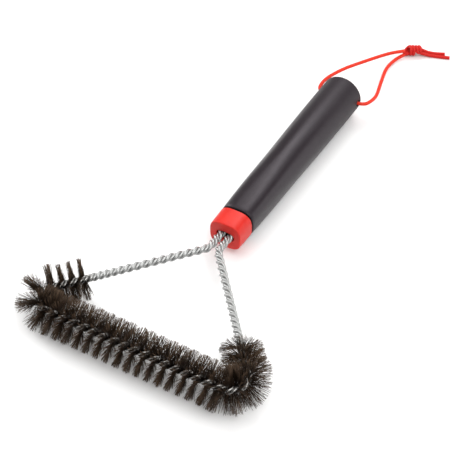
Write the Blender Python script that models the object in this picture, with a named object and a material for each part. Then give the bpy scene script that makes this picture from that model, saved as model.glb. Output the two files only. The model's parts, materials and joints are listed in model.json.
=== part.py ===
"""Three-sided grill brush: twisted wire head, moulded handle and a cord to hang it by.

The brush lies on a flat surface.  +Y runs from the head to the tail of the handle,
+X runs along the front bar of the head and +Z is up.  Sizes are in metres.
"""
import math

import bmesh
import bpy
from mathutils import Matrix
from mathutils import Vector

# Driving dimensions of the whole brush
BRISTLE_RADIUS = 0.0152
HEAD_LENGTH = 0.1150  # mouth of the collar to the core of the front bar
HEAD_WIDTH = 0.1760  # between the corners, if they were sharp
HANDLE_LENGTH = 0.1736  # mouth of the collar to the end of the grip
AXIS_HEIGHT = BRISTLE_RADIUS
MOUTH_Y = (HEAD_LENGTH + BRISTLE_RADIUS - HANDLE_LENGTH) / 2
FIT_GAP = 0.0003

# Twisted wire stem
WIRE_RADIUS = 0.00091
WIRE_GAP = 0.00080
CORNER_RADIUS = 0.0110
SPLAY_RADIUS = 0.0100
SPLAY_DISTANCE = 0.0150  # mouth to where the arms would meet the straight tails
STEM_SPACING = 0.0066  # between the two ropes in the mouth
STEM_TAIL = 0.0330  # length of rope held inside the handle
BRISTLE_PITCH = 0.0152
CORNER_PITCH = 0.0161
BARE_PITCH = 0.0135  # past the bristles
PITCH_CHANGE = 0.0100  # length over which the pitch changes
BAR_TWIST = math.radians(96)  # twist at the middle of the front bar
STEPS_PER_TURN = 8

# Bristle fills: a thin spiral ribbon that passes between the two pairs of wires
RIBBON_CORE = 0.0016  # half width of the thin middle, between the wires
RIBBON_THIN = 0.0004
RIBBON_TIP = 0.0010
PAIR_SPREAD = 0.00045  # each pair of wires moves out by this much where bristles pass
INNER_CLEARANCE = 0.0046  # kept free round the centre of each corner's bend
ARM_FILL = 0.0225  # length of bristles on the straight part of each arm
FRONT_FILLS = 3
SHORTEST_STEP = 0.0004  # between two rows of a ribbon

# Collar and grip
COLLAR_LENGTH = 0.0151
SEAM_LENGTH = 0.0018
SEAM_INSET = 0.0003
COLLAR_FRONT = (0.0117, 0.0105, 3.2)  # half width, half height, superellipse power
COLLAR_REAR = (0.0122, 0.0110, 3.0)
COLLAR_EDGE = 0.0007
MOUTH_HALF = (0.0067, 0.0035)
MOUTH_DROP = 0.0002
COLLAR_WALL = 0.0030
GRIP_FRONT = (0.0122, 0.0110, 2.9)
GRIP_REAR_RADIUS = 0.0152
GRIP_EASE = 2.0
GRIP_EDGE = 0.0006
TAIL_EDGE = 0.0014
SQUARE_FADE = 0.0700  # the squarish section fades to round over this length
ROUND_STEPS = 32
CAVITY_RADIUS = 0.0095
CAVITY_DEPTH = 0.1100
CORE_SMALL_RADIUS = 0.0076
CORE_LENGTH = 0.0450
CHANNEL_HALF = (0.0068, 0.0033)
FERRULE_LENGTH = 0.0100
FERRULE_START = 0.0200
FERRULE_OUTER = (0.0077, 0.0042)
BORE_RADIUS = 0.0024
BORE_INSET = 0.0049

# Cord to hang the brush by, knotted behind the tail
CORD_RADIUS = 0.0013
CORD_STEP = 0.0056
TAIL_Y = MOUTH_Y + HANDLE_LENGTH
BORE_Y = TAIL_Y - BORE_INSET
CORD_ROUTE = (
    (0.0126, 0.2326, 0.0056), (0.0040, 0.2217, 0.0067), (-0.0056, 0.2022, 0.0092),
    (-0.0143, 0.1835, 0.0112), (-0.0187, 0.1657, 0.0137), (-0.0190, 0.1546, 0.0150),
    (-0.0170, BORE_Y + 0.0008, AXIS_HEIGHT), (-0.0120, BORE_Y, AXIS_HEIGHT),
    (0.0000, BORE_Y, AXIS_HEIGHT), (0.0120, BORE_Y, AXIS_HEIGHT),
    (0.0174, BORE_Y + 0.0006, AXIS_HEIGHT), (0.0206, 0.1527, 0.0140),
    (0.0197, 0.1682, 0.0092), (0.0133, 0.1908, 0.0042), (0.0087, 0.2097, 0.0020),
    (0.0094, 0.2227, 0.0018), (0.0133, 0.2321, 0.0026),
)
KNOT_CENTRE = (0.0172, 0.2379, 0.0043)
KNOT_HALF = (0.0066, 0.0046, 0.0042)
KNOT_TURN = math.radians(28)
TAIL_ROUTES = (
    ((0.02365, 0.2393, 0.0034), (0.0300, 0.2422, 0.0016), (0.0370, 0.2446, 0.0013),
     (0.0449, 0.2474, 0.0013)),
    ((0.0224, 0.2426, 0.0040), (0.0280, 0.2447, 0.0019), (0.0340, 0.2472, 0.0013),
     (0.0397, 0.2499, 0.0013)),
)


def clear_scene():
    for item in list(bpy.data.objects):
        bpy.data.objects.remove(item, do_unlink=True)


def new_collection(name):
    collection = bpy.data.collections.new(name)
    bpy.context.scene.collection.children.link(collection)
    return collection


def new_material(name, colour, roughness, metallic=0.0):
    material = bpy.data.materials.new(name)
    material.use_nodes = True
    shader = material.node_tree.nodes["Principled BSDF"]
    shader.inputs["Base Color"].default_value = (*colour, 1.0)
    shader.inputs["Roughness"].default_value = roughness
    shader.inputs["Metallic"].default_value = metallic
    return material


def new_object(name, mesh, material=None, collection=None):
    item = bpy.data.objects.new(name, mesh)
    (collection or PARTS).objects.link(item)
    if material:
        mesh.materials.append(material)
    return item


def mesh_from_bmesh(name, bm, smooth=True):
    if bm.calc_volume(signed=True) < 0:
        bmesh.ops.reverse_faces(bm, faces=bm.faces)
    mesh = bpy.data.meshes.new(name)
    bm.to_mesh(mesh)
    bm.free()
    if smooth:
        mesh.shade_smooth()
        mesh.set_sharp_from_angle(angle=math.radians(35))
    return mesh


def loft(name, rings, smooth=True):
    """Closed mesh through rings that have the same number of points."""
    bm = bmesh.new()
    loops = [[bm.verts.new(point) for point in ring] for ring in rings]
    count = len(loops[0])
    for near, far in zip(loops, loops[1:]):
        for i in range(count):
            j = (i + 1) % count
            bm.faces.new((near[i], near[j], far[j], far[i]))
    bm.faces.new(reversed(loops[0]))
    bm.faces.new(loops[-1])
    return mesh_from_bmesh(name, bm, smooth)


def cutter(name, mesh):
    item = new_object(name, mesh, collection=CUTTERS)
    item.hide_render = True
    item.display_type = "WIRE"
    return item


def boolean(item, tool, operation="DIFFERENCE"):
    step = item.modifiers.new(tool.name, "BOOLEAN")
    step.operation = operation
    step.solver = "EXACT"
    step.object = tool


def superellipse(distance, half_width, half_height, power, drop=0.0, count=ROUND_STEPS):
    """Ring in a plane across the handle's axis, at a distance behind the mouth."""
    ring = []
    for i in range(count):
        angle = 2 * math.pi * i / count
        c = math.cos(angle)
        s = math.sin(angle)
        x = half_width * math.copysign(abs(c) ** (2 / power), c)
        z = half_height * math.copysign(abs(s) ** (2 / power), s)
        ring.append((x, MOUTH_Y + distance, AXIS_HEIGHT + z - drop))
    return ring


def blend(start, end, share):
    return tuple(a + (b - a) * share for a, b in zip(start, end))


# The stem's route, as a half that is mirrored about the middle of the front bar

def half_route():
    """Straight and curved stretches from the bar's middle to the rope's hidden end."""
    corners = [
        Vector((0.0, MOUTH_Y - HEAD_LENGTH)),
        Vector((HEAD_WIDTH / 2, MOUTH_Y - HEAD_LENGTH)),
        Vector((STEM_SPACING / 2, MOUTH_Y - SPLAY_DISTANCE)),
        Vector((STEM_SPACING / 2, MOUTH_Y + STEM_TAIL)),
    ]
    stretches = []
    start = corners[0]
    for i, radius in ((1, CORNER_RADIUS), (2, SPLAY_RADIUS)):
        before = (corners[i] - corners[i - 1]).normalized()
        after = (corners[i + 1] - corners[i]).normalized()
        turn = before.angle_signed(after) * -1
        setback = radius * math.tan(abs(turn) / 2)
        bend_start = corners[i] - before * setback
        stretches.append(("line", start, before, (bend_start - start).length))
        stretches.append(("arc", bend_start, before, abs(turn) * radius, radius, turn))
        start = corners[i] + after * setback
    end = corners[3]
    stretches.append(("line", start, (end - start).normalized(), (end - start).length))
    return stretches


def route_marks(stretches):
    """Distances along the half route at which its stretches end."""
    marks = []
    total = 0.0
    for stretch in stretches:
        total += stretch[3]
        marks.append(total)
    return marks


def half_route_at(distance):
    for stretch in ROUTE:
        if distance <= stretch[3] or stretch is ROUTE[-1]:
            break
        distance -= stretch[3]
    start, heading = stretch[1], stretch[2]
    if stretch[0] == "line":
        return start + heading * distance, heading
    radius = stretch[4]
    side = math.copysign(1.0, stretch[5])
    angle = side * distance / radius
    left = Vector((-heading.y, heading.x)) * side
    centre = start + left * radius
    turned = Matrix.Rotation(angle, 2)
    return centre + turned @ (start - centre), turned @ heading


def frame_at(distance):
    """Point on the core, direction out of the triangle, and the heading, in 3D."""
    point, heading = half_route_at(abs(distance))
    if distance < 0:
        point = Vector((-point.x, point.y))
        heading = Vector((heading.x, -heading.y))
    outward = Vector((heading.y, -heading.x, 0.0))
    return Vector((point.x, point.y, AXIS_HEIGHT)), outward, Vector((*heading, 0.0))


def smooth_step(value):
    value = min(max(value, 0.0), 1.0)
    return value * value * (3 - 2 * value)


def pitch_at(distance):
    if MARKS[0] < abs(distance) < MARKS[1]:
        return CORNER_PITCH
    share = smooth_step((abs(distance) - FILL_END) / PITCH_CHANGE)
    return BRISTLE_PITCH + (BARE_PITCH - BRISTLE_PITCH) * share


def twist_stations(limit):
    """Pairs of distance and twist angle, an equal part of a turn apart."""
    stations = [(0.0, 0.0)]
    step = 2 * math.pi / STEPS_PER_TURN
    while stations[-1][0] < limit:
        distance, twist = stations[-1]
        middle = distance + pitch_at(distance) / STEPS_PER_TURN / 2
        advance = pitch_at(middle) / STEPS_PER_TURN
        stations.append((distance + advance, twist + step))
    last, before = stations[-1], stations[-2]
    share = (limit - before[0]) / (last[0] - before[0])
    stations[-1] = (limit, before[1] + (last[1] - before[1]) * share)
    both = [(-d, -t) for d, t in reversed(stations[1:])] + stations
    return [(distance, twist + BAR_TWIST) for distance, twist in both]


def twist_at(distance):
    for near, far in zip(STATIONS, STATIONS[1:]):
        if near[0] <= distance <= far[0]:
            return near[1] + (far[1] - near[1]) * (distance - near[0]) / (far[0] - near[0])
    return STATIONS[-1][1]


def spiral_point(distance, twist, along, across):
    """Point beside the core: along the blade direction and across it."""
    core, outward, _ = frame_at(distance)
    up = Vector((0.0, 0.0, 1.0))
    blade = outward * math.cos(twist) + up * math.sin(twist)
    normal = up * math.cos(twist) - outward * math.sin(twist)
    return core + blade * along + normal * across


def make_wire(name, side, pair, material):
    """One of the four stem wires, from end to end of the stem."""
    curve = bpy.data.curves.new(name, "CURVE")
    curve.dimensions = "3D"
    curve.bevel_depth = WIRE_RADIUS
    curve.bevel_resolution = 1
    curve.use_fill_caps = True
    spline = curve.splines.new("POLY")
    spline.points.add(len(STATIONS) - 1)
    half = WIRE_RADIUS + WIRE_GAP / 2
    for slot, (distance, twist) in zip(spline.points, STATIONS):
        spread = PAIR_SPREAD * (1 - smooth_step((abs(distance) - FILL_END) / BRISTLE_PITCH))
        point = spiral_point(distance, twist, side * half, pair * (half + spread))
        slot.co = (*point, 1.0)
    return new_object(name, curve, material)


def inner_reach(distance):
    """How far bristles reach into the triangle before they meet those across the corner."""
    distance = abs(distance)
    if MARKS[0] <= distance <= MARKS[1]:
        return CORNER_RADIUS - INNER_CLEARANCE
    past = MARKS[0] - distance if distance < MARKS[0] else distance - MARKS[1]
    return CORNER_RADIUS - INNER_CLEARANCE + past * math.tan(CORNER_HALF_ANGLE)


def bristle_reach(distance, twist, side):
    inward = -side * math.cos(twist)
    if inward <= 0:
        return BRISTLE_RADIUS
    return min(BRISTLE_RADIUS, inner_reach(distance) / inward)


def ribbon_rows(distance):
    """Points across the ribbon on its two faces, from one edge to the other."""
    twist = twist_at(distance)
    along = (-bristle_reach(distance, twist, -1), -RIBBON_CORE, 0.0, RIBBON_CORE,
             bristle_reach(distance, twist, 1))
    across = (RIBBON_TIP / 2, RIBBON_THIN / 2, RIBBON_THIN / 2, RIBBON_THIN / 2, RIBBON_TIP / 2)
    return [[spiral_point(distance, twist, u, face * v) for u, v in zip(along, across)]
            for face in (1, -1)]


def ribbon_mesh(name, distances):
    """Closed ribbon.  Both faces fold along the same lines, from inner to outer points."""
    bm = bmesh.new()
    rows = [[[bm.verts.new(point) for point in row] for row in ribbon_rows(d)] for d in distances]
    last = len(rows[0][0]) - 1
    for near, far in zip(rows, rows[1:]):
        for face in (0, 1):
            for i in range(last):
                inner, outer = (i, i + 1) if i >= last / 2 else (i + 1, i)
                bm.faces.new((near[face][inner], near[face][outer], far[face][outer]))
                bm.faces.new((near[face][inner], far[face][outer], far[face][inner]))
        for i in (0, last):
            bm.faces.new((near[0][i], far[0][i], far[1][i], near[1][i]))
    for end in (rows[0], rows[-1]):
        bm.faces.new((*end[0], *reversed(end[1])))
    bmesh.ops.recalc_face_normals(bm, faces=bm.faces)
    return mesh_from_bmesh(name, bm, smooth=False)


def make_fill(name, start, end, material, parts=1):
    """Bristles of one stretch of the stem, with each step of the twist in equal parts."""
    start += FIT_GAP / 2
    end -= FIT_GAP / 2
    places = [near[0] + (far[0] - near[0]) * i / parts
              for near, far in zip(STATIONS, STATIONS[1:]) for i in range(parts)]
    inner = [d for d in places if start + SHORTEST_STEP < d < end - SHORTEST_STEP]
    new_object(name, ribbon_mesh(name, [start, *inner, end]), material)


def make_fills(material):
    bar = MARKS[0]
    step = 2 * bar / FRONT_FILLS
    for i in range(FRONT_FILLS):
        make_fill("bristles_front_%d" % (i + 1), -bar + i * step, -bar + (i + 1) * step, material)
    make_fill("bristles_corner_left", -MARKS[1], -MARKS[0], material, 3)
    make_fill("bristles_corner_right", MARKS[0], MARKS[1], material, 3)
    make_fill("bristles_arm_left", -FILL_END, -MARKS[1], material)
    make_fill("bristles_arm_right", MARKS[1], FILL_END, material)


def slot_cutter(name, start, end, half, drop=0.0):
    rings = [superellipse(d, half[0], half[1], 2.8, drop, 24) for d in (start, end)]
    return cutter(name, loft(name, rings))


def make_collar(material):
    rings = []
    front = tuple(size - COLLAR_EDGE for size in COLLAR_FRONT[:2]) + (COLLAR_FRONT[2],)
    rings.append(superellipse(0.0, *front))
    steps = 6
    for i in range(steps + 1):
        share = i / steps
        shape = blend(COLLAR_FRONT, COLLAR_REAR, 1 - (1 - share) ** 1.3)
        rings.append(superellipse(COLLAR_EDGE + share * (COLLAR_LENGTH - COLLAR_EDGE), *shape))
    item = new_object("collar", loft("collar", rings), material)
    mouth = slot_cutter("mouth_cut", -0.002, COLLAR_WALL + 0.001, MOUTH_HALF, MOUTH_DROP)
    boolean(item, mouth)
    pocket_radius = CORE_SMALL_RADIUS + FIT_GAP
    pocket = [superellipse(d, pocket_radius, pocket_radius, 2.0)
              for d in (COLLAR_WALL, COLLAR_LENGTH + 0.002)]
    boolean(item, cutter("collar_pocket", loft("collar_pocket", pocket)))
    return item


def make_seam_ring(material):
    """Thin dark spacer between the collar and the grip."""
    start = COLLAR_LENGTH + FIT_GAP
    end = COLLAR_LENGTH + SEAM_LENGTH - FIT_GAP
    outer = [size - SEAM_INSET for size in COLLAR_REAR[:2]]
    rings = [superellipse(d, *outer, COLLAR_REAR[2]) for d in (start, end)]
    item = new_object("seam_ring", loft("seam_ring", rings), material)
    hole = CORE_SMALL_RADIUS + FIT_GAP
    bore = [superellipse(d, hole, hole, 2.0) for d in (start - 0.002, end + 0.002)]
    boolean(item, cutter("seam_bore", loft("seam_bore", bore)))
    return item


def grip_ring(distance, inset=0.0):
    """Section of the grip, a distance behind its front end."""
    length = HANDLE_LENGTH - COLLAR_LENGTH - SEAM_LENGTH
    growth = 1 - (1 - min(distance / length, 1.0)) ** GRIP_EASE
    width, height = [size + (GRIP_REAR_RADIUS - size) * growth - inset for size in GRIP_FRONT[:2]]
    power = GRIP_FRONT[2] + (2.0 - GRIP_FRONT[2]) * smooth_step(distance / SQUARE_FADE)
    return superellipse(COLLAR_LENGTH + SEAM_LENGTH + distance, width, height, power)


def make_grip(material):
    length = HANDLE_LENGTH - COLLAR_LENGTH - SEAM_LENGTH
    rings = [grip_ring(0.0, GRIP_EDGE)]
    steps = 9
    for i in range(steps + 1):
        rings.append(grip_ring(GRIP_EDGE + (length - GRIP_EDGE - TAIL_EDGE) * i / steps))
    for angle in (30, 60, 90):
        turn = math.radians(angle)
        rings.append(grip_ring(length - TAIL_EDGE * (1 - math.sin(turn)),
                               TAIL_EDGE * (1 - math.cos(turn))))
    item = new_object("handle_grip", loft("handle_grip", rings), material)
    start = COLLAR_LENGTH + SEAM_LENGTH
    cavity = [superellipse(d, CAVITY_RADIUS, CAVITY_RADIUS, 2.0)
              for d in (start - 0.002, start + CAVITY_DEPTH)]
    boolean(item, cutter("grip_cavity", loft("grip_cavity", cavity)))
    bm = bmesh.new()
    place = Matrix.Translation((0.0, BORE_Y, AXIS_HEIGHT)) @ Matrix.Rotation(math.pi / 2, 4, "Y")
    bmesh.ops.create_cone(bm, cap_ends=True, segments=16, radius1=BORE_RADIUS,
                          radius2=BORE_RADIUS, depth=0.05, matrix=place)
    boolean(item, cutter("cord_bore", mesh_from_bmesh("cord_bore", bm)))
    return item


def make_core_half(name, side, material):
    """Half of the stepped plug that clamps the ropes inside the collar and the grip."""
    step = COLLAR_LENGTH + SEAM_LENGTH + FIT_GAP
    end = COLLAR_WALL + FIT_GAP + CORE_LENGTH
    large = CAVITY_RADIUS - FIT_GAP
    profile = ((COLLAR_WALL + FIT_GAP, CORE_SMALL_RADIUS), (step, CORE_SMALL_RADIUS),
               (step, large), (end, large))
    rings = [superellipse(d, radius, radius, 2.0) for d, radius in profile]
    item = new_object(name, loft(name, rings), material)
    channel_end = STEM_TAIL + WIRE_RADIUS  # clear of the slanting ends of the wires
    boolean(item, slot_cutter(name + "_channel", 0.0, channel_end, CHANNEL_HALF))
    ferrule_half = tuple(size + FIT_GAP for size in FERRULE_OUTER)
    pocket = slot_cutter(name + "_pocket", FERRULE_START - FIT_GAP,
                         FERRULE_START + FERRULE_LENGTH + FIT_GAP, ferrule_half)
    boolean(item, pocket)
    bm = bmesh.new()
    bmesh.ops.create_cube(bm, size=0.2)
    lift = -side * (0.1 - FIT_GAP / 2)
    bmesh.ops.translate(bm, verts=bm.verts, vec=(0.0, 0.0, AXIS_HEIGHT + lift))
    boolean(item, cutter(name + "_split", mesh_from_bmesh(name + "_split", bm, smooth=False)))
    return item


def make_ferrule(material):
    """Flattened sleeve, crimped round both ropes."""
    ends = (FERRULE_START, FERRULE_START + FERRULE_LENGTH)
    rings = [superellipse(d, *FERRULE_OUTER, 2.8, 0.0, 24) for d in ends]
    item = new_object("wire_ferrule", loft("wire_ferrule", rings), material)
    boolean(item, slot_cutter("ferrule_hole", ends[0] - 0.002, ends[1] + 0.002, CHANNEL_HALF))
    return item


def smooth_route(points, spacing):
    """Points an even distance apart on a smooth curve through the given ones."""
    knots = [Vector(p) for p in points]
    knots = [knots[0] * 2 - knots[1], *knots, knots[-1] * 2 - knots[-2]]
    fine = []
    for a, b, c, d in zip(knots, knots[1:], knots[2:], knots[3:]):
        for i in range(24):
            t = i / 24
            fine.append(0.5 * ((2 * b) + (c - a) * t + (2 * a - 5 * b + 4 * c - d) * t * t
                               + (3 * b - a - 3 * c + d) * t ** 3))
    fine.append(knots[-2])
    length = sum((q - p).length for p, q in zip(fine, fine[1:]))
    count = round(length / spacing)
    even = [fine[0]]
    travelled = 0.0
    for p, q in zip(fine, fine[1:]):
        gap = (q - p).length
        while len(even) < count and travelled + gap >= length * len(even) / count:
            share = (length * len(even) / count - travelled) / gap
            even.append(p.lerp(q, share))
        travelled += gap
    even.append(fine[-1])
    return even


def make_cord(name, route, material):
    curve = bpy.data.curves.new(name, "CURVE")
    curve.dimensions = "3D"
    curve.bevel_depth = CORD_RADIUS
    curve.bevel_resolution = 2
    curve.use_fill_caps = True
    points = smooth_route(route, CORD_STEP)
    spline = curve.splines.new("POLY")
    spline.points.add(len(points) - 1)
    for slot, point in zip(spline.points, points):
        slot.co = (*point, 1.0)
    item = new_object(name, curve, material)
    hinge = Vector((0.0, BORE_Y, AXIS_HEIGHT))
    item.data.transform(Matrix.Translation(-hinge))
    item.location = hinge
    return item


def make_knot(material):
    """Outer shape of the overhand knot that ties both strands together."""
    bm = bmesh.new()
    turn = Matrix.Translation(KNOT_CENTRE) @ Matrix.Rotation(KNOT_TURN, 4, "Z")
    size = Matrix.Diagonal((*KNOT_HALF, 1.0))
    bmesh.ops.create_uvsphere(bm, u_segments=16, v_segments=10, radius=1.0, matrix=turn @ size)
    item = new_object("cord_knot", mesh_from_bmesh("cord_knot", bm), material)
    hinge = Vector((0.0, BORE_Y, AXIS_HEIGHT))
    item.data.transform(Matrix.Translation(-hinge))
    item.location = hinge
    return item


clear_scene()
PARTS = new_collection("grill_brush")
CUTTERS = new_collection("cutters")
ROUTE = half_route()
MARKS = route_marks(ROUTE)
CORNER_HALF_ANGLE = (math.pi - abs(ROUTE[1][5])) / 2
FILL_END = MARKS[1] + ARM_FILL
STATIONS = twist_stations(MARKS[4])

steel = new_material("galvanised_wire", (0.55, 0.56, 0.55), 0.35, 1.0)
bristle = new_material("bristle_wire", (0.045, 0.034, 0.027), 0.5, 0.6)
black = new_material("black_grip", (0.045, 0.042, 0.045), 0.42)
dark = new_material("dark_core", (0.02, 0.02, 0.02), 0.6)
red = new_material("red_collar", (0.80, 0.07, 0.055), 0.38)
red_cord = new_material("red_cord", (0.82, 0.07, 0.05), 0.6)

make_grip(black)
make_collar(red)
make_seam_ring(dark)
make_core_half("core_upper", 1, dark)
make_core_half("core_lower", -1, dark)
make_ferrule(steel)
for number, (side, pair) in enumerate(((1, 1), (-1, 1), (-1, -1), (1, -1)), 1):
    make_wire("stem_wire_%d" % number, side, pair, steel)
make_fills(bristle)
make_cord("hang_cord", CORD_ROUTE, red_cord)
make_knot(red_cord)
for number, route in enumerate(TAIL_ROUTES, 1):
    make_cord("cord_tail_%d" % number, route, red_cord)
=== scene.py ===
"""Looks of a grill brush with a triangular head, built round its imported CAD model.

Metres, in the CAD model's frame: +Y runs from the head to the handle's tail and +Z is up.
"""
import json
import math

import bmesh
import bpy
import numpy as np
from mathutils import Matrix, Vector


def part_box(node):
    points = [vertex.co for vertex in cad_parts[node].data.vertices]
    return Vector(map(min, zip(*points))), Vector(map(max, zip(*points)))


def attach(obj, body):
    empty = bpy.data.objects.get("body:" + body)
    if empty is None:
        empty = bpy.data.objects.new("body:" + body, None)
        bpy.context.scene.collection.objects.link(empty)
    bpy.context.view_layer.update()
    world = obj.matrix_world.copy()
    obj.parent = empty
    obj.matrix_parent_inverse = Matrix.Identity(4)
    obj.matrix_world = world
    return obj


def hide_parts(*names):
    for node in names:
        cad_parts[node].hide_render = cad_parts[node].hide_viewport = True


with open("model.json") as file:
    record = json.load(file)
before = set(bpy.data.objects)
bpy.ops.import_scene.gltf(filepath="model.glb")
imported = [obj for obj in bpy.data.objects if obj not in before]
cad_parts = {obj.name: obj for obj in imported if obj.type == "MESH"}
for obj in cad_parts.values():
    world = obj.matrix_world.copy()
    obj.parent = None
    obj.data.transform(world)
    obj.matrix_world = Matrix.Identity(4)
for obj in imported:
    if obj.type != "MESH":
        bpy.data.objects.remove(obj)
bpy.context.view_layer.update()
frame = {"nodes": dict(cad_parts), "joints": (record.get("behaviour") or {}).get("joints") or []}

# Curves and shading
CURVE_PARTS = 24  # between two points of a smooth line
TUBE_SHARP_ANGLE = 50  # degrees, above which an edge is shaded sharp
LOFT_SHARP_ANGLE = 35

# Places read from the frame
GRIP_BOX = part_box("handle_grip")
COLLAR_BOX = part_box("collar")
BAR_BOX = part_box("bristles_front_2")
AXIS_HEIGHT = (GRIP_BOX[0].z + GRIP_BOX[1].z) / 2
MOUTH_Y = COLLAR_BOX[0].y
TAIL_Y = GRIP_BOX[1].y
BAR_Y = (BAR_BOX[0].y + BAR_BOX[1].y) / 2
BORE_Y = frame["joints"][0]["pos_m"][1]

# Twisted stem, on the CAD model's route
HEAD_WIDTH = 0.1760  # between the corners, if they were sharp
CORNER_RADIUS = 0.0110
SPLAY_RADIUS = 0.0100
SPLAY_DISTANCE = 0.0150
STEM_SPACING = 0.0066
STEM_TAIL = 0.0330  # of each rope, inside the handle
ARM_FILL = 0.0225  # length of the bristles' stretch on each arm
CORNER_POINTS = 33  # in each bend
STEM_STEP = 0.0002
BAR_TWIST = math.radians(96)  # twist at the middle of the front bar
BRISTLE_PITCH = 0.0152  # on the front bar
CORNER_PITCH = 0.0178
ARM_PITCH = 0.0138  # among the bristles of the arms
TIGHT_PITCH = 0.0080  # just past the bristles
MOUTH_PITCH = 0.0120
PITCH_CHANGE = 0.0080  # length over which the pitch falls where the bristles end
PITCH_RISE = 0.0450  # length over which it grows again
WIRE_RADIUS = 0.00104
WIRE_HALF_SPACING = 0.00107
PAIR_SPREAD = 0.00022  # each pair of wires moves out by this much where bristles pass
NEAR_WIRE = 0.00106  # from the centre, where the bare wires lie as a flat rhombus
FAR_WIRE = 0.00186
WIRE_STEPS_PER_TURN = 24
WIRE_SIDES = 12
PAINTED_SHADE_ZINC = (0.26, 0.255, 0.245)  # darker zinc among the bristles: painted shade

# Bristles
BRISTLES_PER_METRE = 17500
BRISTLE_WIRE = 0.00015  # radius
BAR_BRISTLE_LENGTH = 0.0151
ARM_BRISTLE_LENGTH = 0.0140
CORNER_BRISTLE_LENGTH = 0.0157
LENGTH_RISE = 0.0080  # before a corner, where the bristles get longer
LENGTH_FALL = 0.0060  # past it, where they get shorter
LENGTH_SPREAD = 0.018  # as a share of the length
CLUMP_SIZE = 14
EVEN_SCATTER = math.radians(4.8)
LEFT_SCATTER = math.radians(22)  # round the corners
RIGHT_SCATTER = math.radians(30)
SCATTER_SHARES = (0.9, 0.45)  # of single bristles and of clumps
FAN_START = 0.0030  # before the corner
FAN_FADE = 0.0060
LAYER_SPREAD = 0.00026  # across the ribbon, between the wires
LEAN_SPREADS = (0.0009, 0.0004)  # of the tips along the stem, of single bristles and of clumps
LEAN_BACK = 0.2  # share of the lean that is taken off the middle, so that the bristle bends
BOW_SPREAD = 0.00035  # of the middle, in every direction
TIP_THICKNESS = 0.8  # as a share of the root's
LOWEST_TIP = 0.0003
TONE_MEAN = 0.42
TONE_SPREAD = 0.32

# Collar and grip
COLLAR_LENGTH = COLLAR_BOX[1].y - MOUTH_Y
GRIP_START = GRIP_BOX[0].y - MOUTH_Y
GRIP_END = TAIL_Y - MOUTH_Y
COLLAR_FRONT = (0.0117, 0.0105, 3.2)  # half width, half height, superellipse power
COLLAR_REAR = (0.0122, 0.0110, 3.0)
COLLAR_EDGE = 0.0007
COLLAR_EASE = 1.3  # how soon the front's section turns into the rear's
COLLAR_STEPS = 24
COLLAR_WALL = 0.0030  # behind the mouth
POCKET_RADIUS = 0.0079  # inside the collar
MOUTH_HALF = (0.0067, 0.0035, 2.8)
MOUTH_DROP = 0.0002
MOUTH_LIP = 0.0005  # radius of the mouth's rounded edge
GRIP_FRONT = (0.0122, 0.0110, 2.9)
GRIP_REAR_RADIUS = 0.0152
GRIP_EASE = 2.0  # how soon the grip widens towards its tail
GRIP_EDGE = 0.0006
TAIL_EDGE = 0.0014
SQUARE_FADE = 0.0700  # length over which the grip turns round
GRIP_STEPS = 60
CAVITY_RADIUS = 0.0095
CAVITY_DEPTH = 0.1100
BORE_RADIUS = 0.0024
BORE_STEPS = 32
# How far in from the grip's side, and how much wider the bore is there
BORE_FLARE = ((-0.0040, 0.0040), (0.0001, 0.0004), (0.0004, 0.00015), (0.0009, 0.0))
ROUND_STEPS = 96

# Cord, knot and tails: the route's points are the CAD model's
CORD_RADIUS = 0.0013
CORD_SIDES = 24
CORD_STEP = 0.0004
BRAID_DEPTH = 0.00007
BRAID_PITCH = 0.0042
BRAID_WAVES = 4
CORD_ROUTE = (
    (0.0126, 0.2326, 0.0056), (0.0040, 0.2217, 0.0067), (-0.0056, 0.2022, 0.0092),
    (-0.0143, 0.1835, 0.0112), (-0.0187, 0.1657, 0.0137), (-0.0190, 0.1546, 0.0150),
    (-0.0170, BORE_Y + 0.0008, AXIS_HEIGHT), (-0.0120, BORE_Y, AXIS_HEIGHT),
    (0.0000, BORE_Y, AXIS_HEIGHT), (0.0120, BORE_Y, AXIS_HEIGHT),
    (0.0174, BORE_Y + 0.0006, AXIS_HEIGHT), (0.0206, 0.1527, 0.0140),
    (0.0197, 0.1682, 0.0092), (0.0133, 0.1908, 0.0042), (0.0087, 0.2097, 0.0020),
    (0.0094, 0.2227, 0.0018), (0.0133, 0.2321, 0.0026),
)
BORE_POINT = 8  # the route's point in the middle of the bore
KNOT_CENTRE = (0.0172, 0.2379, 0.0043)
KNOT_TURN = math.radians(28)
KNOT_STRAND = 0.00122  # radius
KNOT_GAP = 0.0023  # between the two strands' windings
KNOT_WINDINGS = 1.9
KNOT_START = math.radians(200)
KNOT_HALF_WIDTH = 0.0031
KNOT_HALF_HEIGHT = 0.0029
KNOT_LENGTH = 0.0090
KNOT_SLANT = 0.0012  # how far a winding leans along the knot
KNOT_POINTS = 19
KNOT_CURVE_PARTS = 12
TAIL_ROUTES = (
    ((0.02365, 0.2393, 0.0034), (0.0300, 0.2422, 0.0016), (0.0370, 0.2446, 0.0013),
     (0.0449, 0.2474, 0.0013)),
    ((0.0224, 0.2426, 0.0040), (0.0280, 0.2447, 0.0019), (0.0340, 0.2472, 0.0013),
     (0.0397, 0.2499, 0.0013)),
)

# Camera
CAMERA_TARGET = Vector((0.0055, MOUTH_Y + 0.0041, AXIS_HEIGHT))
CAMERA_AZIMUTH = math.radians(29.96)
CAMERA_ELEVATION = math.radians(44.54)
CAMERA_DISTANCE = 1.0
CAMERA_LENS = 114.5

# Stage and light
FLOOR_SIZE = 12
WORLD_COLOUR = (1.0, 0.93, 0.87, 1.0)
WORLD_STRENGTH = 0.13


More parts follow.
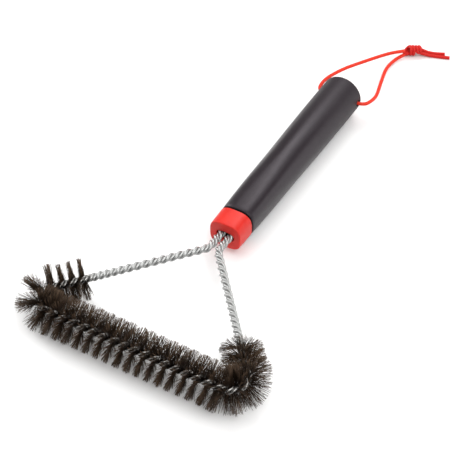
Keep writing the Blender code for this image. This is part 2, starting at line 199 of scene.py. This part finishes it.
def make_camera():
    camera = bpy.data.objects.new("camera", bpy.data.cameras.new("camera"))
    bpy.context.scene.collection.objects.link(camera)
    camera.data.lens = CAMERA_LENS
    camera.data.sensor_width = 36
    camera.data.clip_start = 0.01
    camera.data.clip_end = 50
    flat = math.cos(CAMERA_ELEVATION)
    back = Vector((math.sin(CAMERA_AZIMUTH) * flat, -math.cos(CAMERA_AZIMUTH) * flat,
                   math.sin(CAMERA_ELEVATION)))
    camera.location = CAMERA_TARGET + back * CAMERA_DISTANCE
    camera.rotation_euler = (-back).to_track_quat("-Z", "Y").to_euler()
    bpy.context.scene.camera = camera


# Mesh helpers

def add_object(name, mesh, finish, body, replaces=()):
    """Puts a piece in the scene with its material, body and slot, and hides the CAD nodes it stands for."""
    piece = bpy.data.objects.new(name, mesh)
    bpy.context.scene.collection.objects.link(piece)
    mesh.materials.append(finish)
    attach(piece, body)
    if replaces:
        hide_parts(*replaces)
    return piece


def mesh_of(name, points, faces, sharp_angle=None):
    """Smooth-shaded mesh, with sharp edges above an angle in degrees if one is given."""
    mesh = bpy.data.meshes.new(name)
    mesh.from_pydata(np.asarray(points).tolist(), [], faces)
    mesh.shade_smooth()
    if sharp_angle:
        mesh.set_sharp_from_angle(angle=math.radians(sharp_angle))
    return mesh


def ring_faces(rings, count, cyclic=False):
    """Quads between neighbouring rings of points."""
    faces = []
    for i in range(rings if cyclic else rings - 1):
        near = i * count
        far = (i + 1) % rings * count
        for j in range(count):
            k = (j + 1) % count
            faces.append((near + j, near + k, far + k, far + j))
    return faces


def end_caps(rings, count):
    """One face across each end of a row of rings."""
    last = (rings - 1) * count
    return [tuple(reversed(range(count))), tuple(range(last, last + count))]


def loft(name, rings, cyclic=False):
    """Closed mesh through rings of equally many points."""
    count = len(rings[0])
    faces = ring_faces(len(rings), count, cyclic)
    if not cyclic:
        faces += end_caps(len(rings), count)
    mesh = mesh_of(name, np.concatenate(rings), faces)
    bm = bmesh.new()
    bm.from_mesh(mesh)
    if bm.calc_volume(signed=True) < 0:
        bmesh.ops.reverse_faces(bm, faces=bm.faces)
    bm.to_mesh(mesh)
    bm.free()
    mesh.shade_smooth()
    mesh.set_sharp_from_angle(angle=math.radians(LOFT_SHARP_ANGLE))
    return mesh


def circle_angles(count):
    return np.arange(count) * 2 * math.pi / count


def quarter_round(radius, steps):
    """Points round a quarter circle, as their distances from the two sides that it joins."""
    return [(radius * (1 - math.cos(angle)), radius * (1 - math.sin(angle)))
            for angle in np.radians(np.linspace(0.0, 90.0, steps + 1))]


def superellipse(distance, half_width, half_height, power, drop=0.0):
    """Ring across the handle's axis, at a distance behind the mouth."""
    angle = circle_angles(ROUND_STEPS)
    c = np.cos(angle)
    s = np.sin(angle)
    x = half_width * np.sign(c) * np.abs(c) ** (2 / power)
    z = half_height * np.sign(s) * np.abs(s) ** (2 / power)
    return np.stack([x, np.full(ROUND_STEPS, MOUTH_Y + distance), AXIS_HEIGHT + z - drop], axis=1)


def inset_section(section, inset):
    """A section's half width, half height and power, with its sides moved in."""
    return section[0] - inset, section[1] - inset, section[2]


def smooth_step(value):
    value = np.clip(value, 0.0, 1.0)
    return value * value * (3 - 2 * value)


def unit(vector):
    return vector / np.linalg.norm(vector)


def unit_rows(vectors):
    return vectors / np.linalg.norm(vectors, axis=1)[:, None]


def length_along(line):
    """Distance of each point of a line from its start, along the line."""
    gaps = np.linalg.norm(np.diff(line, axis=0), axis=1)
    return np.concatenate([[0.0], np.cumsum(gaps)])


def even_line(line, spacing):
    """The line again, with points an even distance apart."""
    along = length_along(line)
    places = np.linspace(0.0, along[-1], max(2, round(along[-1] / spacing) + 1))
    return np.stack([np.interp(places, along, line[:, k]) for k in range(3)], axis=1)


def smooth_line(points, parts=CURVE_PARTS):
    """Smooth curve through the points, with equally many parts between each two."""
    knots = np.array(points, float)
    knots = np.concatenate([[2 * knots[0] - knots[1]], knots, [2 * knots[-1] - knots[-2]]])
    t = (np.arange(parts) / parts)[:, None]
    fine = []
    for a, b, c, d in zip(knots, knots[1:], knots[2:], knots[3:]):
        fine.append(0.5 * (2 * b + (c - a) * t + (2 * a - 5 * b + 4 * c - d) * t * t
                           + (3 * b - a - 3 * c + d) * t ** 3))
    fine.append(knots[-2][None])
    return np.concatenate(fine)


def tube_frames(line):
    """Directions across a line that turn as little as they can along it."""
    heading = unit_rows(np.gradient(line, axis=0))
    off_the_line = (0.3, 0.5, 0.8)
    side = np.cross(heading[0], off_the_line)
    sides = []
    for ahead in heading:
        side = side - ahead * (side @ ahead)
        side = side / np.linalg.norm(side)
        sides.append(side)
    sides = np.array(sides)
    return sides, np.cross(heading, sides)


def tube(name, line, radius, sides, relief=None):
    """Closed round tube along a line, with where it is along and round kept for its material."""
    across, up = tube_frames(line)
    along = length_along(line)
    angle = circle_angles(sides)
    height = np.zeros((len(line), sides)) if relief is None else relief(along[:, None], angle)
    reach = (radius + height)[:, :, None]
    around = (across[:, None] * np.cos(angle)[:, None] + up[:, None] * np.sin(angle)[:, None])
    points = (line[:, None] + around * reach).reshape(-1, 3)
    faces = ring_faces(len(line), sides) + end_caps(len(line), sides)
    mesh = mesh_of(name, points, faces, TUBE_SHARP_ANGLE)
    lay = np.stack(np.broadcast_arrays(along[:, None], radius * np.cos(angle)[None],
                                       radius * np.sin(angle)[None]), axis=-1)
    mark(mesh, "lay", "FLOAT_VECTOR", "vector", lay)
    mark(mesh, "relief", "FLOAT", "value", height)
    return mesh


def mark(mesh, name, kind, key, values):
    """Keeps a value at each point of a mesh, for its material to read."""
    attribute = mesh.attributes.new(name, kind, "POINT")
    attribute.data.foreach_set(key, np.asarray(values, np.float32).ravel())


# Materials

class Finish:
    """A node-based material on one Principled shader."""

    def __init__(self, name, colour, roughness, metallic=0.0, sockets=()):
        self.material = bpy.data.materials.new(name)
        self.material.use_nodes = True
        self.tree = self.material.node_tree
        self.shader = self.tree.nodes["Principled BSDF"]
        self.shader.inputs["Base Color"].default_value = (*colour, 1.0)
        self.shader.inputs["Roughness"].default_value = roughness
        self.shader.inputs["Metallic"].default_value = metallic
        for socket, value in sockets:
            self.shader.inputs[socket].default_value = value

    def node(self, kind, **settings):
        made = self.tree.nodes.new("ShaderNode" + kind)
        for key, value in settings.items():
            setattr(made, key, value)
        return made

    def link(self, out, socket):
        self.tree.links.new(out, socket)

    def place(self):
        """Where a point of the piece lies, in metres."""
        return self.node("TexCoord").outputs["Object"]

    def stored(self, name, output="Fac"):
        return self.node("Attribute", attribute_name=name).outputs[output]

    def scaled(self, vector, scale):
        mapping = self.node("Mapping")
        mapping.inputs["Scale"].default_value = scale
        self.link(vector, mapping.inputs["Vector"])
        return mapping.outputs["Vector"]

    def noise(self, vector, scale, detail=3.0, roughness=0.55):
        noise = self.node("TexNoise")
        noise.inputs["Scale"].default_value = scale
        noise.inputs["Detail"].default_value = detail
        noise.inputs["Roughness"].default_value = roughness
        self.link(vector, noise.inputs["Vector"])
        return noise.outputs["Fac"]

    def mapped(self, value, low, high, from_low=0.0, from_high=1.0):
        """The value, turned from one range into another and kept inside it."""
        ramp = self.node("MapRange")
        for socket, number in (("From Min", from_low), ("From Max", from_high),
                               ("To Min", low), ("To Max", high)):
            ramp.inputs[socket].default_value = number
        self.link(value, ramp.inputs["Value"])
        return ramp.outputs["Result"]

    def mixed(self, share, first, second):
        """Colour between two, each a colour or a socket."""
        mix = self.node("Mix", data_type="RGBA")
        self.link(share, mix.inputs[0])
        for socket, colour in ((mix.inputs[6], first), (mix.inputs[7], second)):
            if isinstance(colour, tuple):
                socket.default_value = (*colour, 1.0)
            else:
                self.link(colour, socket)
        return mix.outputs[2]

    def dulled(self, gloss, start, end, dull):
        """Roughness that rises from gloss to a dull value between two places along Y."""
        place = self.node("SeparateXYZ")
        self.link(self.place(), place.inputs["Vector"])
        rising = self.mapped(place.outputs["Y"], 0.0, dull, start, end)
        self.link(gloss, rising.node.inputs["To Min"])
        return rising

    def bump(self, height, strength, distance):
        bump = self.node("Bump")
        bump.inputs["Strength"].default_value = strength
        bump.inputs["Distance"].default_value = distance
        self.link(height, bump.inputs["Height"])
        self.link(bump.outputs["Normal"], self.shader.inputs["Normal"])

    def use(self, colour, roughness=None):
        self.link(colour, self.shader.inputs["Base Color"])
        if roughness is not None:
            self.link(roughness, self.shader.inputs["Roughness"])
        return self.material


def moulded_finish(name, dark, light, rough_low, rough_high, grain, gloss_level,
                   tint=(1.0, 1.0, 1.0), dull_end=None):
    """Moulded plastic: a slight mottle, uneven gloss and a fine grain, duller at one end if asked."""
    finish = Finish(name, light, rough_low, sockets=[("Specular IOR Level", gloss_level),
                                                     ("Specular Tint", (*tint, 1.0))])
    place = finish.place()
    mottle = finish.noise(place, 160.0, 4.0)
    fine = finish.noise(place, 5200.0, 2.0)
    finish.bump(fine, grain, 0.00006)
    gloss = finish.mapped(finish.noise(place, 420.0, 3.0), rough_low, rough_high, 0.3, 0.7)
    if dull_end:
        gloss = finish.dulled(gloss, *dull_end)
    return finish.use(finish.mixed(finish.mapped(mottle, 0.0, 1.0, 0.3, 0.7), dark, light), gloss)


def wire_finish(name, dark, light, rough_low, rough_high):
    """Galvanised wire: spangled zinc with faint drawing lines, darker among the bristles as painted shade,
    and rubbed glossier there.
    """
    finish = Finish(name, light, rough_low, 1.0)
    lay = finish.stored("lay", "Vector")
    bare = finish.stored("bare")
    spangle = finish.noise(lay, 1800.0, 3.0, 0.6)
    lines = finish.noise(finish.scaled(lay, (60.0, 6500.0, 6500.0)), 1.0, 2.0)
    finish.bump(lines, 0.08, 0.00003)
    gloss = finish.mapped(bare, rough_low, rough_high)
    unshaded_zinc = finish.mixed(finish.mapped(spangle, 0.0, 1.0, 0.35, 0.65), dark, light)
    # Among the bristles the colour turns to a darker zinc: painted shade.
    return finish.use(finish.mixed(bare, PAINTED_SHADE_ZINC, unshaded_zinc), gloss)


def bristle_finish():
    """Thin steel bristles, dark at the root and warmer and lighter towards the cut tips."""
    finish = Finish("bristle_steel", (0.05, 0.04, 0.03), 0.5, 0.15,
                    [("Specular IOR Level", 0.2), ("Specular Tint", (1.0, 0.8, 0.62, 1.0))])
    tone = finish.stored("tone")
    reach = finish.stored("reach")
    root = finish.mixed(tone, (0.009, 0.005, 0.003), (0.036, 0.022, 0.013))
    tip = finish.mixed(tone, (0.020, 0.012, 0.008), (0.135, 0.090, 0.060))
    share = finish.mapped(reach, 0.0, 1.0, 0.55, 1.0)
    gloss = finish.mapped(tone, 0.38, 0.55)
    return finish.use(finish.mixed(share, root, tip), gloss)


def cord_finish(name, valley, ridge):
    """Braided synthetic cord: painted shade between its strands, with fine fibres."""
    finish = Finish(name, ridge, 0.6, sockets=[("Specular IOR Level", 0.25)])
    relief = finish.stored("relief")
    lay = finish.stored("lay", "Vector")
    # The braid's valleys are painted darker: painted shade.
    share = finish.mapped(relief, 0.0, 1.0, -BRAID_DEPTH * 0.6, BRAID_DEPTH * 0.5)
    fibres = finish.noise(finish.scaled(lay, (2500.0, 9000.0, 9000.0)), 1.0, 2.0)
    finish.bump(fibres, 0.3, 0.00005)
    gloss = finish.mapped(fibres, 0.5, 0.7, 0.3, 0.7)
    return finish.use(finish.mixed(share, valley, ridge), gloss)


# The stem

def half_stem():
    """Half of the stem's route from the bar's middle, and where its stretches end."""
    corners = np.array([(0.0, BAR_Y), (HEAD_WIDTH / 2, BAR_Y),
                        (STEM_SPACING / 2, MOUTH_Y - SPLAY_DISTANCE),
                        (STEM_SPACING / 2, MOUTH_Y + STEM_TAIL)])
    line = [corners[0]]
    marks = [0.0]
    for i, radius in ((1, CORNER_RADIUS), (2, SPLAY_RADIUS)):
        before = unit(corners[i] - corners[i - 1])
        after = unit(corners[i + 1] - corners[i])
        turn = math.atan2(before[0] * after[1] - before[1] * after[0], before @ after)
        start = corners[i] - before * radius * math.tan(abs(turn) / 2)
        inward = np.array((-before[1], before[0])) * math.copysign(1.0, turn)
        marks.append(marks[-1] + np.linalg.norm(start - line[-1]))
        marks.append(marks[-1] + abs(turn) * radius)
        for angle in np.linspace(0.0, abs(turn), CORNER_POINTS):
            line.append(start + before * radius * math.sin(angle)
                        + inward * radius * (1 - math.cos(angle)))
    line.append(corners[3])
    marks.append(marks[-1] + np.linalg.norm(line[-1] - line[-2]))
    flat = np.array(line)
    return np.column_stack([flat, np.full(len(flat), AXIS_HEIGHT)]), marks


def pitch_at(distance):
    """Length of a turn: one on the bar, one round the corners and one on the arms' bristles, short
    just past them, and longer again towards the handle.
    """
    past = np.abs(distance) - FILL_END
    pitch = np.where(np.abs(distance) < MARKS[2], BRISTLE_PITCH, ARM_PITCH)
    pitch += (TIGHT_PITCH - pitch) * smooth_step(past / PITCH_CHANGE)
    pitch += (MOUTH_PITCH - TIGHT_PITCH) * smooth_step(past / PITCH_RISE)
    corner = (np.abs(distance) > MARKS[1]) & (np.abs(distance) < MARKS[2])
    return np.where(corner, CORNER_PITCH, pitch)


def stem_table():
    """Distance, core, outward direction, heading and twist, from one end of the stem to the other."""
    half = even_line(HALF_LINE, STEM_STEP)
    mirrored = half[:0:-1] * (-1.0, 1.0, 1.0)
    core = np.concatenate([mirrored, half])
    reach = np.linspace(0.0, MARKS[5], len(half))
    distance = np.concatenate([-reach[:0:-1], reach])
    heading = unit_rows(np.gradient(core, axis=0))
    outward = np.column_stack([heading[:, 1], -heading[:, 0], np.zeros(len(core))])
    rate = 2 * math.pi / pitch_at(reach)
    turned = np.concatenate([[0.0], np.cumsum((rate[1:] + rate[:-1]) / 2 * np.diff(reach))])
    twist = np.concatenate([-turned[:0:-1], turned]) + BAR_TWIST
    return distance, core, outward, heading, twist


def stem_at(distance):
    """Core, outward direction, heading and twist at each distance."""
    found = [np.stack([np.interp(distance, STEM[0], table[:, k]) for k in range(3)], axis=-1)
             for table in STEM[1:4]]
    return (*found, np.interp(distance, STEM[0], STEM[4]))


def spiral_directions(outward, twist):
    """The way the bristles point, and the way across their spiral ribbon."""
    up = np.array((0.0, 0.0, 1.0))
    c = np.cos(twist)[..., None]
    s = np.sin(twist)[..., None]
    return outward * c + up * s, up * c - outward * s


def make_wires(finish):
    """Four round wires: two pairs with bristles between them, then a bare flat rhombus."""
    for number, (side, pair) in enumerate(((1, 1), (-1, 1), (-1, -1), (1, -1)), 1):
        turns = (STEM[4][-1] - STEM[4][0]) / (2 * math.pi)
        twists = np.linspace(STEM[4][0], STEM[4][-1], round(turns * WIRE_STEPS_PER_TURN))
        distance = np.interp(twists, STEM[4], STEM[0])
        core, outward, heading, twist = stem_at(distance)
        blade, normal = spiral_directions(outward, twist)
        bare = smooth_step((np.abs(distance) - FILL_END) / PITCH_CHANGE)[:, None]
        filled = blade * side * WIRE_HALF_SPACING + normal * pair * (WIRE_HALF_SPACING + PAIR_SPREAD)
        diagonal = (blade * side + normal * pair) / math.sqrt(2)
        wound = diagonal * (FAR_WIRE if side == pair else NEAR_WIRE)
        line = core + filled * (1 - bare) + wound * bare
        mesh = tube("stem_strand_%d" % number, line, WIRE_RADIUS, WIRE_SIDES)
        mark(mesh, "bare", "FLOAT", "value", np.repeat(bare[:, 0], WIRE_SIDES))
        add_object(mesh.name, mesh, finish, "handle", ["stem_wire_%d" % number])


# The bristles

def bristle_length(distance):
    """How far bristles reach: longest round the corners, shortest on the arms."""
    distance = np.abs(distance)
    rise = smooth_step((distance - MARKS[1] + LENGTH_RISE) / LENGTH_RISE)
    fall = smooth_step((distance - MARKS[2]) / LENGTH_FALL)
    length = BAR_BRISTLE_LENGTH + (CORNER_BRISTLE_LENGTH - BAR_BRISTLE_LENGTH) * rise
    return length + (ARM_BRISTLE_LENGTH - CORNER_BRISTLE_LENGTH) * fall


def bristle_scatter(distance):
    """How far bristles stray from their spiral: it opens out to an even fan at the corners."""
    corner = np.where(distance > 0, RIGHT_SCATTER, LEFT_SCATTER)
    distance = np.abs(distance)
    past = np.maximum(MARKS[1] - FAN_START - distance, distance - MARKS[2])
    return EVEN_SCATTER + (corner - EVEN_SCATTER) * (1 - smooth_step(past / FAN_FADE))


def clumped(rng, count, spread_one, spread_clump):
    """Random offsets that neighbouring bristles partly share."""
    clumps = rng.normal(0.0, spread_clump, count // CLUMP_SIZE + 2)
    places = np.arange(count) / CLUMP_SIZE + rng.random()
    return clumps[places.astype(int)] + rng.normal(0.0, spread_one, count)


def bristle_faces(count):
    """Faces of bristles with three rings of three points on each side of the core."""
    block = []
    for half in (0, 9):
        for level in (0, 3):
            for j in range(3):
                k = (j + 1) % 3
                low = half + level
                block.append((low + j, low + k, low + k + 3, low + j + 3))
        block.append((half + 2, half + 1, half))
        block.append((half + 6, half + 7, half + 8))
    return [tuple(18 * i + corner for corner in face) for i in range(count) for face in block]


def make_bristles(name, start, end, seed, finish, node):
    """Bristles of one stretch: each is a thin bent wire from the core to its cut tip."""
    rng = np.random.default_rng(seed)
    count = round((end - start) * BRISTLES_PER_METRE)
    distance = start + (end - start) * (np.arange(count) + rng.random(count)) / count
    core, outward, heading, twist = stem_at(distance)
    layer = rng.normal(0.0, LAYER_SPREAD, count)
    points = []
    tones = []
    reaches = []
    for side in (1, -1):
        turn = clumped(rng, count, *SCATTER_SHARES) * bristle_scatter(distance)
        blade, normal = spiral_directions(outward, twist + turn)
        lean = clumped(rng, count, *LEAN_SPREADS)[:, None]
        bow = rng.normal(0.0, BOW_SPREAD, (count, 3))
        length = bristle_length(distance) * (1 + rng.normal(0.0, LENGTH_SPREAD, count))
        root = core + normal * layer[:, None]
        tip = root + side * blade * length[:, None] + heading * lean
        tip[:, 2] = np.maximum(tip[:, 2], LOWEST_TIP)
        middle = root * 0.5 + tip * 0.5 - heading * lean * LEAN_BACK + bow
        ring_side = unit_rows(np.cross(blade, heading))
        tone = np.clip(rng.normal(TONE_MEAN, TONE_SPREAD, count), 0.0, 1.0)
        rings = ((root, 1.0, 0.0), (middle, 1.0, 0.5), (tip, TIP_THICKNESS, 1.0))
        for centre, thick, reach in rings:
            for angle in (0.0, 2 * math.pi / 3, 4 * math.pi / 3):
                offset = heading * math.cos(angle) + ring_side * math.sin(angle)
                points.append(centre + offset * BRISTLE_WIRE * thick * side)
                tones.append(tone)
                reaches.append(np.full(count, reach))
    points = np.stack(points, axis=1).reshape(-1, 3)
    mesh = mesh_of(name, points, bristle_faces(count))
    mark(mesh, "tone", "FLOAT", "value", np.stack(tones, axis=1))
    mark(mesh, "reach", "FLOAT", "value", np.stack(reaches, axis=1))
    add_object(name, mesh, finish, "handle", [node])


def make_all_bristles(finish):
    """Three stretches on the front bar, one round each corner and one on each arm."""
    bar, corner = MARKS[1], MARKS[2]
    step = 2 * bar / 3
    stretches = [("front_%d" % (i + 1), -bar + i * step, -bar + (i + 1) * step) for i in range(3)]
    stretches += [("corner_left", -corner, -bar), ("corner_right", bar, corner),
                  ("arm_left", -FILL_END, -corner), ("arm_right", corner, FILL_END)]
    for seed, (name, start, end) in enumerate(stretches, 11):
        make_bristles("tufts_" + name, start, end, seed, finish, "bristles_" + name)


# The handle

def make_collar(finish):
    """Hollow collar: round its rear, in through the pocket and out over the mouth's lip."""
    rings = [
        superellipse(COLLAR_LENGTH, *COLLAR_REAR),
        superellipse(COLLAR_LENGTH, POCKET_RADIUS, POCKET_RADIUS, 2.0),
        superellipse(COLLAR_WALL, POCKET_RADIUS, POCKET_RADIUS, 2.0),
        superellipse(COLLAR_WALL, *MOUTH_HALF, MOUTH_DROP),
    ]
    for grow, depth in quarter_round(MOUTH_LIP, 3):
        rings.append(superellipse(depth, *inset_section(MOUTH_HALF, -grow), MOUTH_DROP))
    mouth = np.array(inset_section(MOUTH_HALF, -MOUTH_LIP))
    front = np.array(inset_section(COLLAR_FRONT, COLLAR_EDGE))
    rings.append(superellipse(0.0, *(mouth * 0.5 + front * 0.5), MOUTH_DROP / 2))
    for depth, inset in quarter_round(COLLAR_EDGE, 4):
        rings.append(superellipse(depth, *inset_section(COLLAR_FRONT, inset)))
    for i in range(1, COLLAR_STEPS):
        share = i / COLLAR_STEPS
        eased = 1 - (1 - share) ** COLLAR_EASE
        section = np.array(COLLAR_FRONT) * (1 - eased) + np.array(COLLAR_REAR) * eased
        rings.append(superellipse(COLLAR_EDGE + share * (COLLAR_LENGTH - COLLAR_EDGE), *section))
    mesh = loft("collar_shell", rings, cyclic=True)
    add_object("collar_shell", mesh, finish, "handle", ["collar"])


def grip_ring(distance, inset=0.0):
    """Section of the grip, a distance behind its front end."""
    growth = 1 - (1 - min(distance / (GRIP_END - GRIP_START), 1.0)) ** GRIP_EASE
    width, height = [size + (GRIP_REAR_RADIUS - size) * growth - inset for size in GRIP_FRONT[:2]]
    power = GRIP_FRONT[2] + (2.0 - GRIP_FRONT[2]) * smooth_step(distance / SQUARE_FADE)
    return superellipse(GRIP_START + distance, width, height, power)


def bore_cutter():
    """Round bore across the tail, with its two mouths eased."""
    profile = [(depth - GRIP_REAR_RADIUS, BORE_RADIUS + widening) for depth, widening in BORE_FLARE]
    profile += [(-x, radius) for x, radius in reversed(profile)]
    angle = circle_angles(BORE_STEPS)
    rings = [np.column_stack([np.full(BORE_STEPS, x), BORE_Y + radius * np.cos(angle),
                              AXIS_HEIGHT + radius * np.sin(angle)]) for x, radius in profile]
    cutter = bpy.data.objects.new("bore_cutter", loft("bore_cutter", rings))
    bpy.context.scene.collection.objects.link(cutter)
    return cutter


def make_grip(finish):
    """Hollow grip, open at the front, rounded at the tail and cut through by the cord's bore."""
    length = GRIP_END - GRIP_START
    rings = [superellipse(GRIP_START + CAVITY_DEPTH, CAVITY_RADIUS, CAVITY_RADIUS, 2.0),
             superellipse(GRIP_START, CAVITY_RADIUS, CAVITY_RADIUS, 2.0)]
    for depth, inset in quarter_round(GRIP_EDGE, 3):
        rings.append(grip_ring(depth, inset))
    for i in range(1, GRIP_STEPS + 1):
        rings.append(grip_ring(GRIP_EDGE + (length - GRIP_EDGE - TAIL_EDGE) * i / GRIP_STEPS))
    for inset, before_end in quarter_round(TAIL_EDGE, 9)[1:]:
        rings.append(grip_ring(length - before_end, inset))
    mesh = loft("grip_shell", rings)
    piece = add_object("grip_shell", mesh, finish, "handle", ["handle_grip"])
    cutter = bore_cutter()
    step = piece.modifiers.new("bore", "BOOLEAN")
    step.operation = "DIFFERENCE"
    step.solver = "EXACT"
    step.object = cutter
    depsgraph = bpy.context.evaluated_depsgraph_get()
    cut = bpy.data.meshes.new_from_object(piece.evaluated_get(depsgraph))
    piece.modifiers.clear()
    piece.data = cut
    cut.set_sharp_from_angle(angle=math.radians(LOFT_SHARP_ANGLE))
    bpy.data.objects.remove(cutter)


# The cord

def braid(along, angle):
    """Height of a round braid: two sets of strands that cross over each other."""
    lay = 2 * math.pi * BRAID_WAVES * along / BRAID_PITCH
    one = np.cos(BRAID_WAVES * angle + lay)
    other = np.cos(BRAID_WAVES * angle - lay)
    return BRAID_DEPTH * (np.maximum(one, other) - 0.5)


def make_cord(name, route, finish, replaces):
    """Braided cord along a route, and the line that it follows."""
    line = even_line(route, CORD_STEP)
    mesh = tube(name, line, CORD_RADIUS, CORD_SIDES, braid)
    return add_object(name, mesh, finish, "hanging_loop", replaces), line


def knot_strand(start, end, shift):
    """One strand's way through the knot: in, round the bundle in a slanting wrap, and out."""
    turn = Matrix.Rotation(KNOT_TURN, 3, "Z")
    wrap = []
    for share in np.arange(KNOT_POINTS) / (KNOT_POINTS - 1):
        angle = KNOT_START + 2 * math.pi * KNOT_WINDINGS * share
        along = (share - 0.5) * KNOT_LENGTH + shift + KNOT_SLANT * math.sin(angle)
        across = Vector((along, KNOT_HALF_WIDTH * math.cos(angle), KNOT_HALF_HEIGHT * math.sin(angle)))
        wrap.append(Vector(KNOT_CENTRE) + turn @ across)
    return smooth_line([start, *wrap, end], KNOT_CURVE_PARTS)


def make_knot(finish):
    """The two strands' windings side by side, as one piece."""
    ends = (CORD_ROUTE[0], CORD_ROUTE[-1])
    bm = bmesh.new()
    for i in range(2):
        line = knot_strand(ends[i], TAIL_ROUTES[i][0], (i - 0.5) * KNOT_GAP)
        strand = tube("knot_strand", even_line(line, CORD_STEP), KNOT_STRAND, CORD_SIDES, braid)
        bm.from_mesh(strand)
    joined = bpy.data.meshes.new("overhand_knot")
    bm.to_mesh(joined)
    bm.free()
    return add_object("overhand_knot", joined, finish, "hanging_loop", ["cord_knot"])


def make_hanging_loop(cord_look, knot_look):
    """Two strands from the middle of the bore to the knot, the knot and the two free ends."""
    fine = smooth_line(CORD_ROUTE)
    middle = BORE_POINT * CURVE_PARTS
    routes = (fine[middle::-1], fine[middle:])
    for side, route in zip(("left", "right"), routes):
        stands_for = ["hang_cord"] if side == "left" else []
        make_cord("cord_" + side, route, cord_look, stands_for)
    knot = make_knot(knot_look)
    tails = [make_cord("cord_end_%d" % number, smooth_line(route), knot_look,
                       ["cord_tail_%d" % number])[0]
             for number, route in enumerate(TAIL_ROUTES, 1)]


# Stage and light

def make_stage():
    bpy.ops.mesh.primitive_plane_add(size=FLOOR_SIZE)
    floor = bpy.context.object
    floor.name = "floor"
    look = Finish("studio_floor", (0.86, 0.86, 0.86), 0.9)
    shade = look.noise(look.place(), 3.0, 2.0)
    floor.data.materials.append(look.use(look.mixed(shade, (0.85, 0.85, 0.85), (0.87, 0.87, 0.87))))


def add_softbox(name, azimuth, elevation, distance, size, power):
    """Square light that faces the brush: angles in degrees, distance and size in metres, power in watts."""
    light = bpy.data.lights.new(name, "AREA")
    light.shape = "SQUARE"
    light.size = size
    light.energy = power
    lamp = bpy.data.objects.new(name, light)
    bpy.context.scene.collection.objects.link(lamp)
    azimuth = math.radians(azimuth)
    elevation = math.radians(elevation)
    away = Vector((math.sin(azimuth) * math.cos(elevation), -math.cos(azimuth) * math.cos(elevation),
                   math.sin(elevation)))
    lamp.location = away * distance
    lamp.rotation_euler = (-away).to_track_quat("-Z", "Y").to_euler()


def make_light():
    world = bpy.data.worlds.new("studio")
    bpy.context.scene.world = world
    world.use_nodes = True
    background = world.node_tree.nodes["Background"]
    background.inputs["Color"].default_value = WORLD_COLOUR
    background.inputs["Strength"].default_value = WORLD_STRENGTH
    add_softbox("key", -166, 50, 1.5, 0.7, 5.6)
    add_softbox("side", 131, 13, 1.5, 0.75, 3.5)
    add_softbox("front_left", -50, 55, 1.6, 1.4, 6)
    add_softbox("front", 37, 48, 1.6, 0.7, 4.2)
    add_softbox("back", 178, 37, 1.5, 0.9, 5)
    add_softbox("front_right", 72, 50, 1.6, 1.4, 20)
    add_softbox("top", 0, 88, 1.6, 1.0, 3.6)
    add_softbox("left_low", -100, 30, 1.6, 0.9, 17)
    bpy.context.scene.view_settings.view_transform = "Standard"


make_camera()

# The stem's route and twist, which the wires and the bristles share
HALF_LINE, MARKS = half_stem()
FILL_END = MARKS[2] + ARM_FILL
STEM = stem_table()

cord_look = cord_finish("cord_braid", (0.56, 0.022, 0.008), (0.78, 0.040, 0.016))
# The knot and the free ends are the same cord, in a darker red: painted shade.
knot_look = cord_finish("knot_braid", (0.42, 0.006, 0.004), (0.64, 0.015, 0.010))
make_hanging_loop(cord_look, knot_look)

grip_look = moulded_finish("black_grip", (0.013, 0.009, 0.012), (0.016, 0.012, 0.015),
                           0.32, 0.38, 0.3, 0.35, (1.0, 0.93, 1.0),
                           (TAIL_Y - 0.08, TAIL_Y, 0.55))
collar_look = moulded_finish("red_collar", (0.55, 0.018, 0.012), (0.61, 0.023, 0.014),
                             0.34, 0.40, 0.2, 0.27)
dark_look = moulded_finish("dark_core", (0.001, 0.001, 0.001), (0.002, 0.002, 0.002),
                           0.6, 0.7, 0.3, 0.05)
wire_look = wire_finish("galvanised_wire", (0.36, 0.365, 0.36), (0.47, 0.475, 0.47), 0.24, 0.46)
make_grip(grip_look)
make_collar(collar_look)
# The seam ring is near-black with little gloss: black plastic, and partly painted shade for the gap between
# collar and grip.
for node in ("seam_ring", "core_upper", "core_lower"):
    frame["nodes"][node].material_slots[0].material = dark_look
frame["nodes"]["wire_ferrule"].material_slots[0].material = wire_look
make_wires(wire_look)
make_all_bristles(bristle_finish())
make_stage()
make_light()
